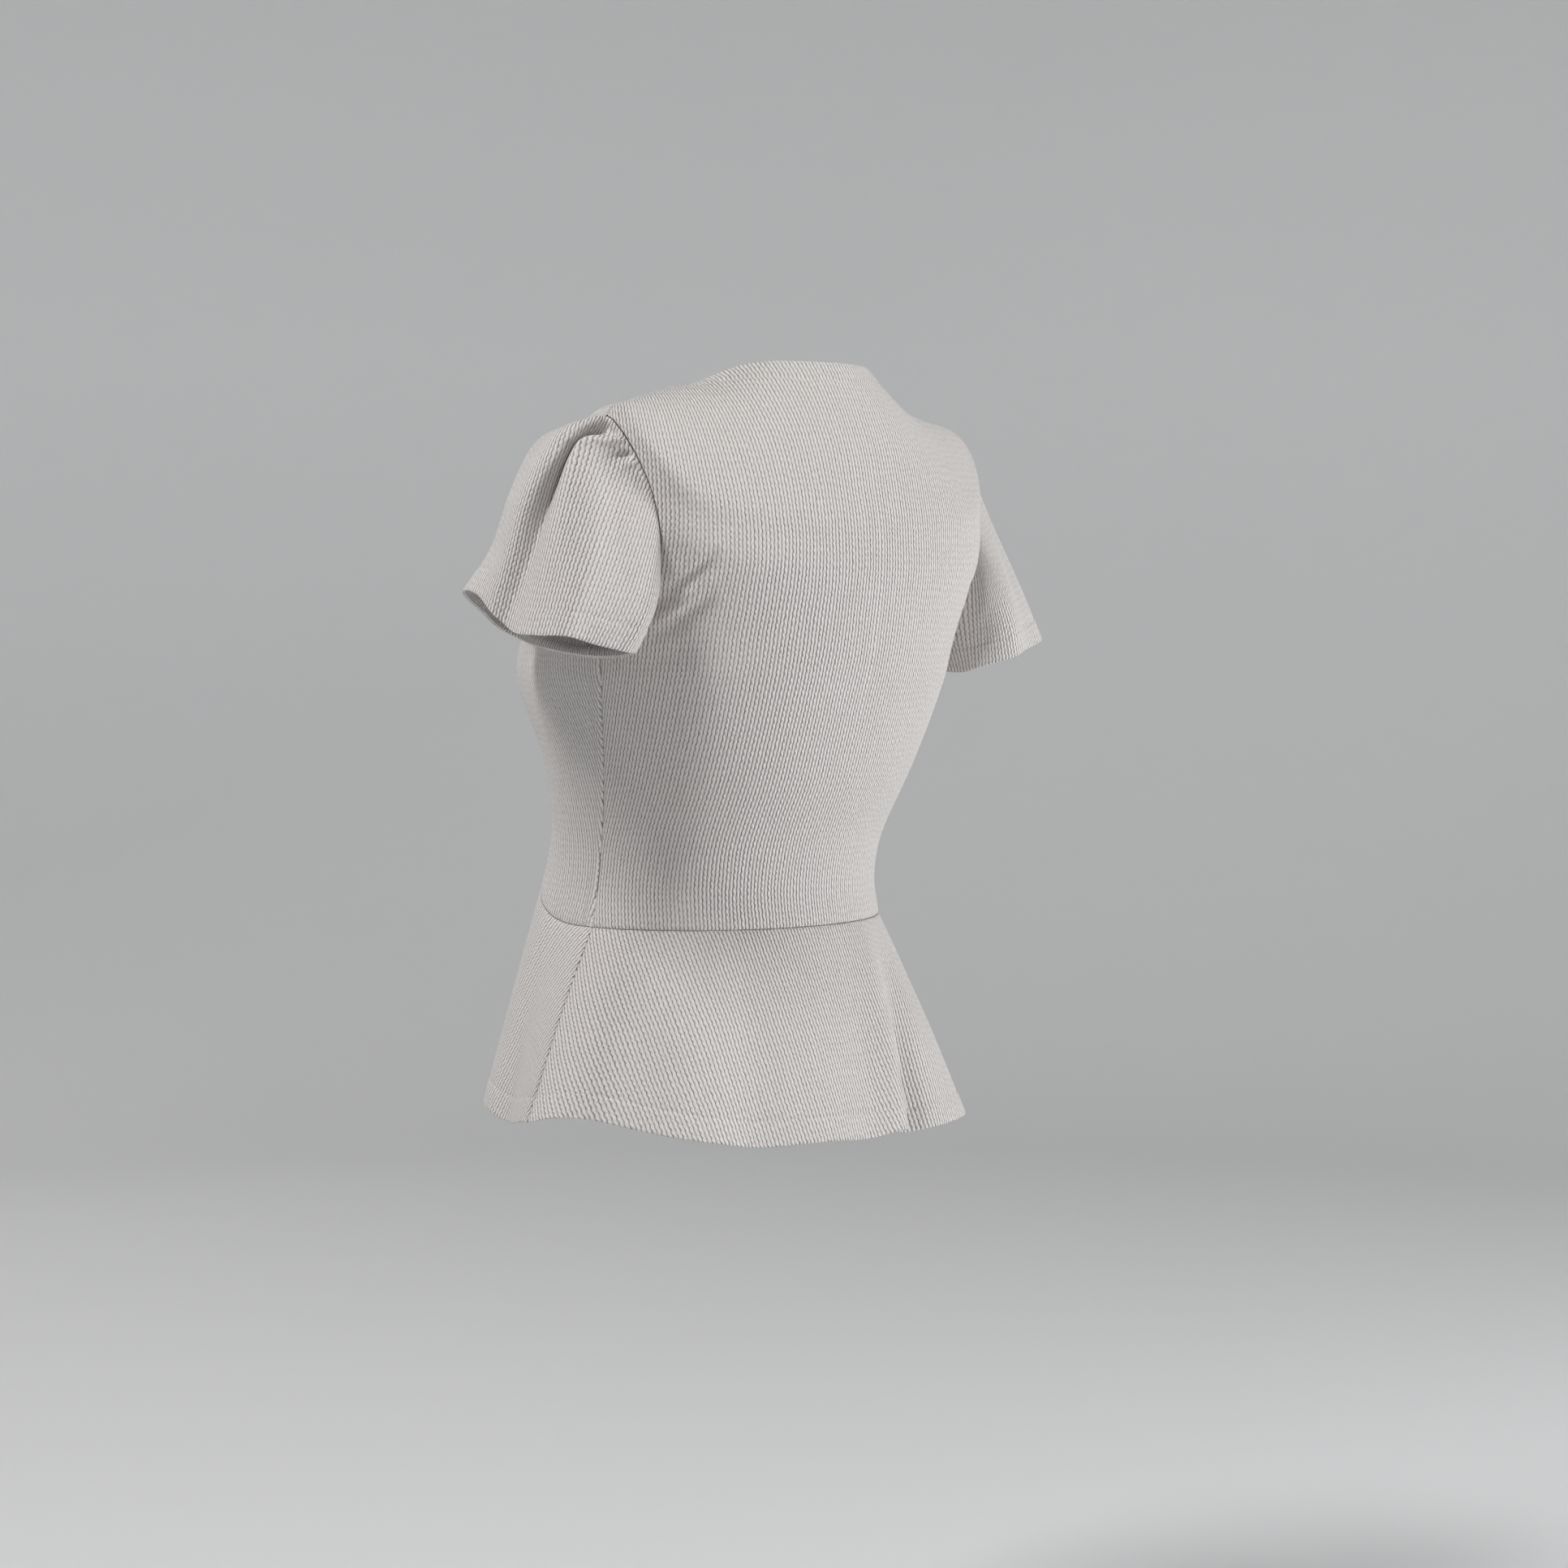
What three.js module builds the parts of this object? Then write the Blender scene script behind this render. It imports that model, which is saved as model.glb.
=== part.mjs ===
// A short peplum blouse in a crinkled knit, held in the hollow shape that it has when it is worn.
// Millimetres, +Z up, the front faces -Y and the wearer's left is +X. The origin lies midway
// between the two side neck points, where the shoulder seams meet the neckline.
import * as THREE from "three";

// Driving dimensions of the cloth and its seams. SEAM_EDGE is the way from a seam line to a piece's edge.
const CLOTH = 1.6;
const SEAM_EDGE = 0.25;
const WAIST_DROP = 396;
const BUST_FULLNESS = { rise: 24, across: 90, height: -198, width: 46, tall: 44 };

// A table as a list of rows, each with its values under the columns' names.
const tableOf = (names, rows) =>
  rows.map((row) => Object.fromEntries(row.map((value, i) => [names[i], value])));

// Rings round the torso. drop is the distance down the centre back from the neckline; side places the ring
// [x, y, z] over the shoulder or side seam, back and front place it [y, z] at the centre lines; square gives
// the superellipse powers of the back and front halves, crown how late each half dips towards the centre.
const BODY_RINGS = tableOf(["drop", "side", "back", "front", "square", "crown"], [
  [0, [74, 8, 0], [80, 15], [-66, -66], [2.0, 2.0], [8, 2]],
  [30, [100, 15, -5], [96, -12], [-84, -92], [2.1, 2.1], [6, 2.4]],
  [65, [135, 23, -14], [110, -46], [-100, -117], [2.2, 2.2], [5.5, 3.8]],
  [107, [170, 32, -27], [119, -87], [-116, -143], [2.2, 2.2], [6.5, 5]],
  [128, [168, 36, -66], [121, -108], [-123, -153], [2.2, 2.2], [5.5, 3.5]],
  [150, [168, 33, -103], [121, -130], [-129, -162], [2.2, 2.3], [4, 3]],
  [198, [153, 7, -175], [114, -178], [-138, -182], [2.25, 2.6], [2, 2]],
  [225, [149, 3, -204], [107, -204], [-140, -204], [2.25, 2.6], [2, 2]],
  [288, [135, -10, -266], [87, -266], [-134, -260], [2.1, 2.5], [2, 2]],
  [336, [124, -24, -313], [66, -314], [-129, -298], [2.0, 2.7], [2, 3]],
  [368, [122, -30, -344], [60, -345], [-130, -320], [2.0, 2.95], [2, 4]],
  [396, [126, -31, -371], [63, -372], [-134, -342], [2.0, 3.1], [2, 4]],
]);

// The armhole seam, by its turn from the shoulder point down the back or the front to the underarm:
// the ring that it crosses, and how far it bites into the back and into the front, in degrees of azimuth.
const ARMHOLE_SEAM = [
  { turn: 0, drop: 107, bite: [0, 0] },
  { turn: 30, drop: 119, bite: [13, 18] },
  { turn: 60, drop: 135, bite: [20, 28] },
  { turn: 90, drop: 152, bite: [22.5, 32] },
  { turn: 120, drop: 171, bite: [20.5, 28] },
  { turn: 150, drop: 188, bite: [12.5, 16] },
  { turn: 180, drop: 198, bite: [0, 0] },
];
const ARMHOLE_STEP = 12;
const SLEEVE_STAND = 0.5;

// The peplum, by azimuth in degrees from the centre back towards the wearer's left: its length from seam to
// hem and how far its hem stands out from the seam. Each flute meets the hem at its azimuth and leans that
// many degrees aside by the seam; width is half its breadth in degrees, swing how far it moves the hem out.
const PEPLUM_STATIONS = tableOf(["azimuth", "length", "spread"], [
  [-135, 154, 34],
  [-90, 154, 52],
  [-45, 154, 57],
  [0, 151, 55],
  [45, 149, 64],
  [70, 139, 64],
  [90, 140, 58],
  [135, 151, 27],
  [180, 154, 31],
]);
const PEPLUM_FLUTES = tableOf(["azimuth", "lean", "width", "swing"], [
  [49, 0, 13, 4],
  [35, -4, 7, -5],
  [16, -8, 10, 5],
  [-5, -17, 6, 14],
  [-15, -18, 6, -16],
  [-40, -8, 13, 7],
  [-62, 0, 10, -16],
  [-88, 0, 12, 12],
  [-112, 0, 9, -15],
  [-136, 0, 12, 12],
  [-160, 0, 9, -12],
  [179, 0, 13, 10],
  [155, 0, 8, -14],
  [129, 0, 10, 9],
  [104, 0, 9, -12],
  [74, 0, 12, 9],
]);

// Stations round a sleeve, for the wearer's left. turn goes round the armhole in degrees, from the shoulder
// point over the back, the underarm and the front; cap, upper, lower and hem are points of four rings below
// the armhole seam. hang is how much lower the right sleeve's hem hangs there.
const SLEEVE_RING_AT = { cap: 0.25, upper: 0.52, lower: 0.78, hem: 1 };
const SLEEVE_STATIONS = tableOf(["turn", "cap", "upper", "lower", "hem", "hang"], [
  [0, [195, 21, -40], [217, 17, -79], [231, 17, -121], [246, 17, -167], 0],
  [20, [188, 37, -48], [209, 39, -90], [226, 42, -130], [243, 43, -172], 1],
  [40, [178, 51, -66], [195, 60, -103], [215, 66, -140], [235, 67, -173], 2],
  [80, [165, 75, -118], [174, 80, -140], [185, 82, -162], [196, 78, -183], 3],
  [120, [160, 68, -155], [164, 67, -165], [168, 65, -174], [171, 61, -184], 11],
  [150, [157, 40, -170], [160, 41, -176], [164, 43, -181], [167, 43, -187], 12],
  [180, [158, 4, -180], [161, 6, -182], [163, 8, -184], [164, 10, -187], 8],
  [210, [155, -38, -171], [158, -38, -175], [160, -38, -178], [161, -38, -182], 2],
  [240, [151, -62, -153], [154, -65, -160], [156, -68, -167], [157, -70, -175], 0],
  [280, [159, -62, -110], [166, -67, -130], [173, -71, -147], [181, -74, -163], 0],
  [320, [186, -31, -57], [199, -33, -90], [212, -38, -118], [229, -46, -144], 0],
  [342, [193, -6, -43], [214, -10, -80], [225, -13, -117], [240, -14, -147], 0],
]);

// Pleats and flutes of a sleeve. Each runs from seamTurn at the armhole to hemTurn at the hem; width is half
// its breadth in degrees there; depth is outwards, in millimetres, near the seam, halfway and at the hem.
const SLEEVE_FOLDS = tableOf(["seamTurn", "hemTurn", "width", "depth"], [
  [5, -4, [6, 9], [-7, -11, -6]],
  [-10, -18, [6, 10], [3, 4, 2]],
  [30, 62, [6, 14], [-3, -1.5, -4]],
  [-25, -40, [6, 10], [-4, -2, -1]],
  [-38, -64, [6, 12], [-4, -4, -5]],
]);

const RADIANS = Math.PI / 180;
const clamp = (value, low, high) => Math.min(high, Math.max(low, value));
const mix = (a, b, share) => a + (b - a) * share;
const turnBetween = (from, to) => ((((to - from + 180) % 360) + 360) % 360) - 180;
const smoothStep = (low, high, value) => {
  const share = clamp((value - low) / (high - low), 0, 1);
  return share * share * (3 - 2 * share);
};

// A smooth curve through the values at the knots: cubic pieces whose slopes come from the neighbours.
function cubicThrough(knots, values, at) {
  const last = knots.length - 1;
  let i = 0;
  while (i < last - 1 && at > knots[i + 1]) i += 1;
  const slope = (k) => {
    const before = Math.max(0, k - 1);
    const after = Math.min(last, k + 1);
    return (values[after] - values[before]) / (knots[after] - knots[before]);
  };
  const span = knots[i + 1] - knots[i];
  const u = clamp((at - knots[i]) / span, 0, 1);
  const v = 1 - u;
  return (
    values[i] * v * v * (1 + 2 * u) +
    values[i + 1] * u * u * (3 - 2 * u) +
    span * u * v * (slope(i) * v - slope(i + 1) * u)
  );
}

const ringDrops = BODY_RINGS.map((ring) => ring.drop);
const ringAt = (name, index, drop) =>
  cubicThrough(ringDrops, BODY_RINGS.map((ring) => ring[name][index]), drop);

// The torso's surface. azimuth is in degrees, 0 at the centre back and 180 at the centre front.
function bodyPoint(azimuth, drop) {
  const sine = Math.sin(azimuth * RADIANS);
  const cosine = Math.cos(azimuth * RADIANS);
  const half = cosine >= 0 ? 0 : 1;
  const facing = half === 0 ? "back" : "front";
  const [sideX, sideY, sideZ] = [0, 1, 2].map((axis) => ringAt("side", axis, drop));
  const [centreY, centreZ] = [0, 1].map((axis) => ringAt(facing, axis, drop));
  const power = 2 / ringAt("square", half, drop);
  const forward = Math.abs(cosine) ** power;
  const x = sideX * Math.sign(sine) * Math.abs(sine) ** power;
  const z = mix(centreZ, sideZ, Math.abs(sine) ** ringAt("crown", half, drop));
  let y = mix(sideY, centreY, forward);
  if (half === 1) {
    const across = (Math.abs(x) - BUST_FULLNESS.across) / BUST_FULLNESS.width;
    const up = (z - BUST_FULLNESS.height) / BUST_FULLNESS.tall;
    y -= BUST_FULLNESS.rise * Math.exp(-across * across - up * up) * Math.sqrt(forward);
  }
  return new THREE.Vector3(x, y, z);
}

const armholeTurns = ARMHOLE_SEAM.map((station) => station.turn);
const armholeDrop = (turn) => cubicThrough(armholeTurns, ARMHOLE_SEAM.map((s) => s.drop), turn);
const armholeBite = (turn, half) =>
  cubicThrough(armholeTurns, ARMHOLE_SEAM.map((s) => s.bite[half]), turn);

// A value of a table that goes all the way round, whose rows lie at angles given by key.
function roundTable(rows, key, read, angle) {
  const wrapped = [-2, -1, ...rows.keys(), 0, 1].map((index, place) => {
    const wrap = place < 2 ? -360 : place >= rows.length + 2 ? 360 : 0;
    return { at: rows.at(index)[key] + wrap, value: read(rows.at(index)) };
  });
  const from = rows[0][key];
  const around = from + ((((angle - from) % 360) + 360) % 360);
  return cubicThrough(wrapped.map((row) => row.at), wrapped.map((row) => row.value), around);
}

function normalOf(surface, u, v, step) {
  const along = surface(u + step, v).sub(surface(u - step, v));
  const up = surface(u, v + step).sub(surface(u, v - step));
  return along.cross(up).normalize();
}

// A closed wall of cloth: outer points from surface(u, v), inner points one cloth thickness inside them.
// us and vs are the grid's stations; ring joins the last column to the first.
function clothWall(surface, us, vs, ring = false) {
  const outer = [];
  const inner = [];
  const step = 1e-3;
  for (const v of vs) {
    for (const u of us) {
      const point = surface(u, v);
      const inwards = normalOf(surface, u, v, step).multiplyScalar(-CLOTH);
      outer.push(point);
      inner.push(point.clone().add(inwards));
    }
  }
  const across = us.length;
  const positions = [];
  const triangle = (a, b, c) => positions.push(...a.toArray(), ...b.toArray(), ...c.toArray());
  const quad = (a, b, c, d) => {
    triangle(a, b, c);
    triangle(a, c, d);
  };
  const columns = ring ? across : across - 1;
  for (let row = 0; row < vs.length - 1; row += 1) {
    for (let column = 0; column < columns; column += 1) {
      const here = row * across + column;
      const next = row * across + ((column + 1) % across);
      quad(outer[here], outer[next], outer[next + across], outer[here + across]);
      quad(inner[here], inner[here + across], inner[next + across], inner[next]);
    }
  }
  const top = (vs.length - 1) * across;
  for (let column = 0; column < columns; column += 1) {
    const next = (column + 1) % across;
    quad(outer[next], outer[column], inner[column], inner[next]);
    quad(outer[top + column], outer[top + next], inner[top + next], inner[top + column]);
  }
  if (!ring) {
    for (let row = 0; row < vs.length - 1; row += 1) {
      const left = row * across;
      const right = left + across - 1;
      quad(outer[left], outer[left + across], inner[left + across], inner[left]);
      quad(outer[right + across], outer[right], inner[right], inner[right + across]);
    }
  }
  const geometry = new THREE.BufferGeometry();
  geometry.setAttribute("position", new THREE.Float32BufferAttribute(positions, 3));
  geometry.computeVertexNormals();
  return geometry;
}

const stations = (from, to, count) =>
  Array.from({ length: count + 1 }, (_, i) => mix(from, to, i / count));

// How many degrees short of the side a panel ends on a ring, so that its edge keeps clear of the side seam.
function sideEdge(half, drop) {
  const depth = Math.abs(ringAt(half === 0 ? "back" : "front", 0, drop) - ringAt("side", 1, drop));
  return Math.asin((SEAM_EDGE / depth) ** (ringAt("square", half, drop) / 2)) / RADIANS;
}

// Rows of a bodice panel from the waist seam up to the neckline: each has its drop and its armhole turn.
function bodiceRows() {
  const [armpit, shoulder] = [ARMHOLE_SEAM.at(-1).drop, ARMHOLE_SEAM[0].drop];
  const below = stations(WAIST_DROP - SEAM_EDGE, armpit, 10).map((drop) => ({ drop, turn: 180 }));
  const beside = stations(180, 0, 180 / ARMHOLE_STEP).map((turn) => ({ drop: armholeDrop(turn), turn }));
  const above = stations(shoulder, 0, 5).map((drop) => ({ drop, turn: 0 }));
  return [...below.slice(0, -1), ...beside, ...above.slice(1)];
}

// A bodice panel as surface(u, v): u is its share of the half width from -1 to 1, v counts the rows.
function bodicePanel(half) {
  const rows = bodiceRows();
  const counts = rows.map((_, row) => row);
  const drops = rows.map((row) => row.drop);
  const turns = rows.map((row) => row.turn);
  return (u, v) => {
    const drop = clamp(cubicThrough(counts, drops, v), 0, WAIST_DROP);
    const turn = clamp(cubicThrough(counts, turns, v), 0, 180);
    return bodyPoint(180 * half - u * (90 - sideEdge(half, drop) - armholeBite(turn, half)), drop);
  };
}

// How far the flutes swing the peplum out of its plain cone, at an azimuth and a share of its length.
function fluteSwing(azimuth, share) {
  const swing = PEPLUM_FLUTES.reduce((sum, flute) => {
    const off = turnBetween(flute.azimuth + flute.lean * (1 - share), azimuth) / flute.width;
    return sum + flute.swing * Math.exp(-off * off);
  }, 0);
  return swing * share ** 1.25;
}

// The peplum hangs from the waist seam. Its height comes from the length left after it has swung out.
function peplumPoint(azimuth, share) {
  const seam = bodyPoint(azimuth, WAIST_DROP);
  const aside = bodyPoint(azimuth + 0.5, WAIST_DROP).sub(bodyPoint(azimuth - 0.5, WAIST_DROP));
  const outwards = new THREE.Vector3(-aside.y, aside.x, 0).normalize();
  const length = roundTable(PEPLUM_STATIONS, "azimuth", (row) => row.length, azimuth);
  const spread = roundTable(PEPLUM_STATIONS, "azimuth", (row) => row.spread, azimuth);
  const reach = (s) => spread * (1.15 - 0.15 * s) * s + fluteSwing(azimuth, s);
  const steps = 12;
  let fall = 0;
  for (let i = 0; i < steps; i += 1) {
    const out = reach(((i + 1) * share) / steps) - reach((i * share) / steps);
    const along = (length * share) / steps;
    fall += Math.sqrt(Math.max(along * along - out * out, 0));
  }
  return seam.addScaledVector(outwards, reach(share)).setZ(seam.z - SEAM_EDGE - fall);
}

// A peplum panel as surface(u, v): u runs from -1 to 1 across it, v from -1 at the hem to 0 at the seam.
function peplumPanel(half) {
  const reach = 90 - sideEdge(half, WAIST_DROP);
  return (u, v) => peplumPoint(180 * half - u * reach, Math.max(-v, 0));
}

// The armhole seam of the left side at a turn round the whole armhole, from 0 to 360.
function armholePoint(turn) {
  const around = ((turn % 360) + 360) % 360;
  const half = around <= 180 ? 0 : 1;
  const down = half === 0 ? around : 360 - around;
  const bite = armholeBite(down, half);
  return bodyPoint(half === 0 ? 90 - bite : 90 + bite, armholeDrop(down));
}

// Where the sleeve starts: inside the armhole's edge, on the straight chords between the bodice's rows.
function sleeveStart(turn) {
  const below = Math.floor(turn / ARMHOLE_STEP) * ARMHOLE_STEP;
  const share = (turn - below) / ARMHOLE_STEP;
  const [seam, before, after] = [
    armholePoint(below).lerp(armholePoint(below + ARMHOLE_STEP), share),
    armholePoint(turn - 3),
    armholePoint(turn + 3),
  ];
  const along = after.sub(before).normalize();
  const inwards = ARMHOLE_CENTRE.clone().sub(seam);
  inwards.addScaledVector(along, -inwards.dot(along)).normalize();
  const outwards = along.clone().cross(inwards).normalize();
  if (outwards.x < 0) outwards.negate();
  return seam.addScaledVector(inwards, 2 * SEAM_EDGE).addScaledVector(outwards, SLEEVE_STAND);
}

const ARMHOLE_CENTRE = [0, 90, 180, 270]
  .reduce((sum, turn) => sum.add(armholePoint(turn)), new THREE.Vector3())
  .multiplyScalar(0.25);

// A point of one ring of the sleeve, smooth all the way round.
function sleeveRingPoint(ring, turn, hangs) {
  const read = (axis) => roundTable(SLEEVE_STATIONS, "turn", (row) => row[ring][axis], turn);
  const [x, y, z] = [0, 1, 2].map(read);
  const hang = roundTable(SLEEVE_STATIONS, "turn", (row) => row.hang, turn);
  return new THREE.Vector3(x, y, z - hangs * hang * SLEEVE_RING_AT[ring] ** 2);
}

// How deep the pleats are at a turn and a share of the sleeve's length.
function sleeveFold(turn, share) {
  return SLEEVE_FOLDS.reduce((sum, fold) => {
    const centre = mix(fold.seamTurn, fold.hemTurn, smoothStep(0, 1, share));
    const off = turnBetween(centre, turn) / mix(...fold.width, share);
    return sum + cubicThrough([0, 0.45, 1], fold.depth, share) * Math.exp(-off * off);
  }, 0);
}

function sleevePlain(turn, share, hangs) {
  const rings = Object.keys(SLEEVE_RING_AT);
  const points = [sleeveStart(turn), ...rings.map((ring) => sleeveRingPoint(ring, turn, hangs))];
  const knots = [0, ...Object.values(SLEEVE_RING_AT)];
  const axes = ["x", "y", "z"];
  return new THREE.Vector3(...axes.map((axis) => cubicThrough(knots, points.map((p) => p[axis]), share)));
}

// A sleeve as surface(u, v): u is the turn in degrees, v is minus the share of its length. hangs is 0
// for the left sleeve and 1 for the right, which is made on the left and mirrored.
function sleeveSurface(hangs) {
  const plainAt = (u, v) => sleevePlain(u, -v, hangs);
  return (u, v) => {
    const lift = sleeveFold(u, -v) * smoothStep(0, 0.14, -v);
    return plainAt(u, v).addScaledVector(normalOf(plainAt, u, v, 1e-2), lift);
  };
}

const clothMaterial = () =>
  new THREE.MeshStandardMaterial({ color: 0xd5cfca, roughness: 0.85, metalness: 0, side: THREE.DoubleSide });

function namedMesh(name, geometry) {
  const mesh = new THREE.Mesh(geometry, clothMaterial());
  mesh.name = name;
  return mesh;
}

// The right-hand copy of a left-hand piece, with its faces turned back to point outwards.
function mirrored(geometry) {
  const source = geometry.getAttribute("position");
  const positions = [];
  for (let i = 0; i < source.count; i += 3) {
    for (const k of [i, i + 2, i + 1]) positions.push(-source.getX(k), source.getY(k), source.getZ(k));
  }
  const copy = new THREE.BufferGeometry();
  copy.setAttribute("position", new THREE.Float32BufferAttribute(positions, 3));
  copy.computeVertexNormals();
  return copy;
}

const blouse = new THREE.Group();

const panelColumns = stations(-1, 1, 30);
const panelRows = bodiceRows().map((_, row) => row);
blouse.add(namedMesh("bodice_back", clothWall(bodicePanel(0), panelColumns, panelRows)));
blouse.add(namedMesh("bodice_front", clothWall(bodicePanel(1), panelColumns, panelRows)));

const peplumColumns = stations(-1, 1, 60);
const peplumRows = stations(-1, 0, 6);
blouse.add(namedMesh("peplum_back", clothWall(peplumPanel(0), peplumColumns, peplumRows)));
blouse.add(namedMesh("peplum_front", clothWall(peplumPanel(1), peplumColumns, peplumRows)));

// Columns round a sleeve: close together over the pleated cap, wider apart under the arm.
const sleeveTurns = [...stations(-60, 60, 40).slice(0, -1), ...stations(60, 300, 20).slice(0, -1)];
const sleeveShares = stations(-1, 0, 10);
const makeSleeve = (hangs) => clothWall(sleeveSurface(hangs), sleeveTurns, sleeveShares, true);
blouse.add(namedMesh("sleeve_left", makeSleeve(0)));
blouse.add(namedMesh("sleeve_right", mirrored(makeSleeve(1))));

export default blouse;
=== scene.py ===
"""A short peplum blouse in crinkled rib knit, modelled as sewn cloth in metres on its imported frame."""

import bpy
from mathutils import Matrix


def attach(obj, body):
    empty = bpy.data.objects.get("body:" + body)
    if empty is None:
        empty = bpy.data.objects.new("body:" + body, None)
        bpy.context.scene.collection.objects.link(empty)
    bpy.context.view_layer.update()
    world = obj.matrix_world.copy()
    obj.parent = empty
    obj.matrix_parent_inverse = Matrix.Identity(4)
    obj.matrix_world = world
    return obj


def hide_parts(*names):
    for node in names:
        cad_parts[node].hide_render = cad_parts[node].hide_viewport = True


bl_info = {
    "name": "Peplum blouse",
    "version": (1, 0, 0),
    "blender": (4, 5, 0),
    "location": "View3D > Sidebar > Blouse",
    "description": "Models a crinkled knit blouse: bodice, peplum and pleated flutter sleeves",
    "category": "Object",
}

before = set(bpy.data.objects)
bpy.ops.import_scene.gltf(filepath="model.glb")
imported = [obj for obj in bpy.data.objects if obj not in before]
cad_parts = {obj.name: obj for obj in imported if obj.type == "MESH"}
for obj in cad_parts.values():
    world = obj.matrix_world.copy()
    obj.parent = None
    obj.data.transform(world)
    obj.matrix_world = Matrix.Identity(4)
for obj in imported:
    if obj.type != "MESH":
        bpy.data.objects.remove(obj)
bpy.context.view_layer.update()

import math
from bisect import bisect_right
from collections import namedtuple

import bmesh
import bpy
import numpy as np
from mathutils import Vector, noise

MM = 0.001

# The shapes below are worked out in millimetres; a mesh is in metres.
# SEAM_EDGE is the way from a seam line to a piece's edge, WAIST_DROP that of the waist seam down the back.
SEAM_EDGE = 0.2
WAIST_DROP = 396

# The bust: how far it stands out, the place of its middle, and half its breadth and height.
BUST_RISE = 24
BUST_ACROSS = 90
BUST_HEIGHT = -198
BUST_WIDTH = 46
BUST_TALL = 44

# Rings round the torso. drop is the distance down the centre back from the neckline; side places the ring
# [x, y, z] over the shoulder or side seam, back and front place it [y, z] at the centre lines; square gives
# the superellipse powers of the back and front halves, crown how late each half dips towards the centre.
Ring = namedtuple("Ring", "drop side back front square crown")
BODY_RINGS = (
    Ring(0, (74, 8, 0), (80, 15), (-66, -66), (2.0, 2.0), (8, 2)),
    Ring(30, (100, 15, -5), (96, -12), (-84, -92), (2.1, 2.1), (6, 2.4)),
    Ring(65, (135, 23, -14), (110, -46), (-100, -117), (2.2, 2.2), (5.5, 3.8)),
    Ring(107, (170, 32, -27), (119, -87), (-116, -143), (2.2, 2.2), (6.5, 5)),
    Ring(128, (168, 36, -66), (121, -108), (-123, -153), (2.2, 2.2), (5.5, 3.5)),
    Ring(150, (168, 33, -103), (121, -130), (-129, -162), (2.2, 2.3), (4, 3)),
    Ring(198, (153, 7, -175), (114, -178), (-138, -182), (2.25, 2.6), (2, 2)),
    Ring(225, (149, 3, -204), (107, -204), (-140, -204), (2.25, 2.6), (2, 2)),
    Ring(288, (135, -10, -266), (87, -266), (-134, -260), (2.1, 2.5), (2, 2)),
    Ring(336, (124, -24, -313), (66, -314), (-129, -298), (2.0, 2.7), (2, 3)),
    Ring(368, (122, -30, -344), (60, -345), (-130, -320), (2.0, 2.95), (2, 4)),
    Ring(396, (126, -31, -371), (63, -372), (-134, -342), (2.0, 3.1), (2, 4)),
)

# The armhole seam, by its turn from the shoulder point down the back or the front to the underarm:
# the ring that it crosses, and how far it bites into the back and into the front, in degrees of azimuth.
Armhole = namedtuple("Armhole", "turn drop bite")
ARMHOLE_SEAM = (
    Armhole(0, 107, (0, 0)),
    Armhole(30, 119, (13, 18)),
    Armhole(60, 135, (20, 28)),
    Armhole(90, 152, (22.5, 32)),
    Armhole(120, 171, (20.5, 28)),
    Armhole(150, 188, (12.5, 16)),
    Armhole(180, 198, (0, 0)),
)
SHOULDER_DROP = ARMHOLE_SEAM[0].drop
ARMPIT_DROP = ARMHOLE_SEAM[-1].drop

# The peplum by azimuth: its length from seam to hem, and how far the hem spreads out from the seam.
Hang = namedtuple("Hang", "azimuth length spread")
PEPLUM_STATIONS = (
    Hang(-135, 154, 34),
    Hang(-90, 154, 52),
    Hang(-45, 154, 57),
    Hang(0, 151, 55),
    Hang(45, 149, 64),
    Hang(70, 139, 64),
    Hang(90, 140, 58),
    Hang(135, 151, 27),
    Hang(180, 154, 31),
)

# The peplum's flutes. Each meets the hem at its azimuth and leans that many degrees aside by the seam; width
# is half its breadth in degrees, swing how far it takes the hem out.
Flute = namedtuple("Flute", "azimuth lean width swing")
PEPLUM_FLUTES = (
    Flute(49, 0, 13, 4),
    Flute(35, -4, 7, -5),
    Flute(16, -8, 10, 5),
    Flute(-5, -17, 6, 14),
    Flute(-15, -18, 6, -16),
    Flute(-40, -8, 13, 7),
    Flute(-62, 0, 10, -16),
    Flute(-88, 0, 12, 12),
    Flute(-112, 0, 9, -15),
    Flute(-136, 0, 12, 12),
    Flute(-160, 0, 9, -12),
    Flute(179, 0, 13, 10),
    Flute(155, 0, 8, -14),
    Flute(129, 0, 10, 9),
    Flute(104, 0, 9, -12),
    Flute(74, 0, 12, 9),
)

# How much steeper the peplum spreads at the seam than at the hem, how late its flutes open, and the steps in
# which its length is added up.
PEPLUM_FLARE = 0.15
FLUTE_EASE = 1.25
PEPLUM_STEPS = 12

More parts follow.
